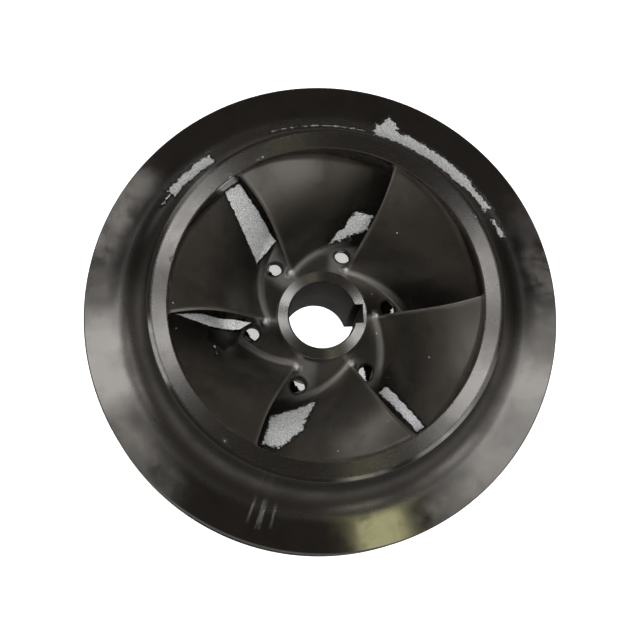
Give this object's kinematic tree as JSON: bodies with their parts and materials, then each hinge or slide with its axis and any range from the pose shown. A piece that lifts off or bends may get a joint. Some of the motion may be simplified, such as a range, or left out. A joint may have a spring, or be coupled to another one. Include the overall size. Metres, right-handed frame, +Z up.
{
  "type": "closed pump impeller",
  "caption": "Closed centrifugal pump impeller with twisted vanes between two shrouds, a keyed hub, balance holes and a wear ring on each side.",
  "frame": {"origin": "on the shaft axis, in the plane of the hub's rear end, which is the lowest face", "axes": "+Z runs up the shaft axis from the hub's rear end to the suction eye; +X points from the axis to the middle of the keyway"},
  "size_m": [0.2, 0.2, 0.0865],
  "materials": {
    "shroud_metal": "satin, turned and polished",
    "ring_metal": "fine turned",
    "hub_metal": "fine turned",
    "vane_metal": "hand-polished"
  },
  "bodies": {
    "root": {"front_shroud": "shroud_metal", "front_wear_ring": "ring_metal", "back_shroud": "shroud_metal", "back_wear_ring": "ring_metal", "hub": "hub_metal", "vane_1": "vane_metal", "vane_2": "vane_metal", "vane_3": "vane_metal", "vane_4": "vane_metal", "vane_5": "vane_metal", "vane_6": "vane_metal"}
  },
  "joints": []
}
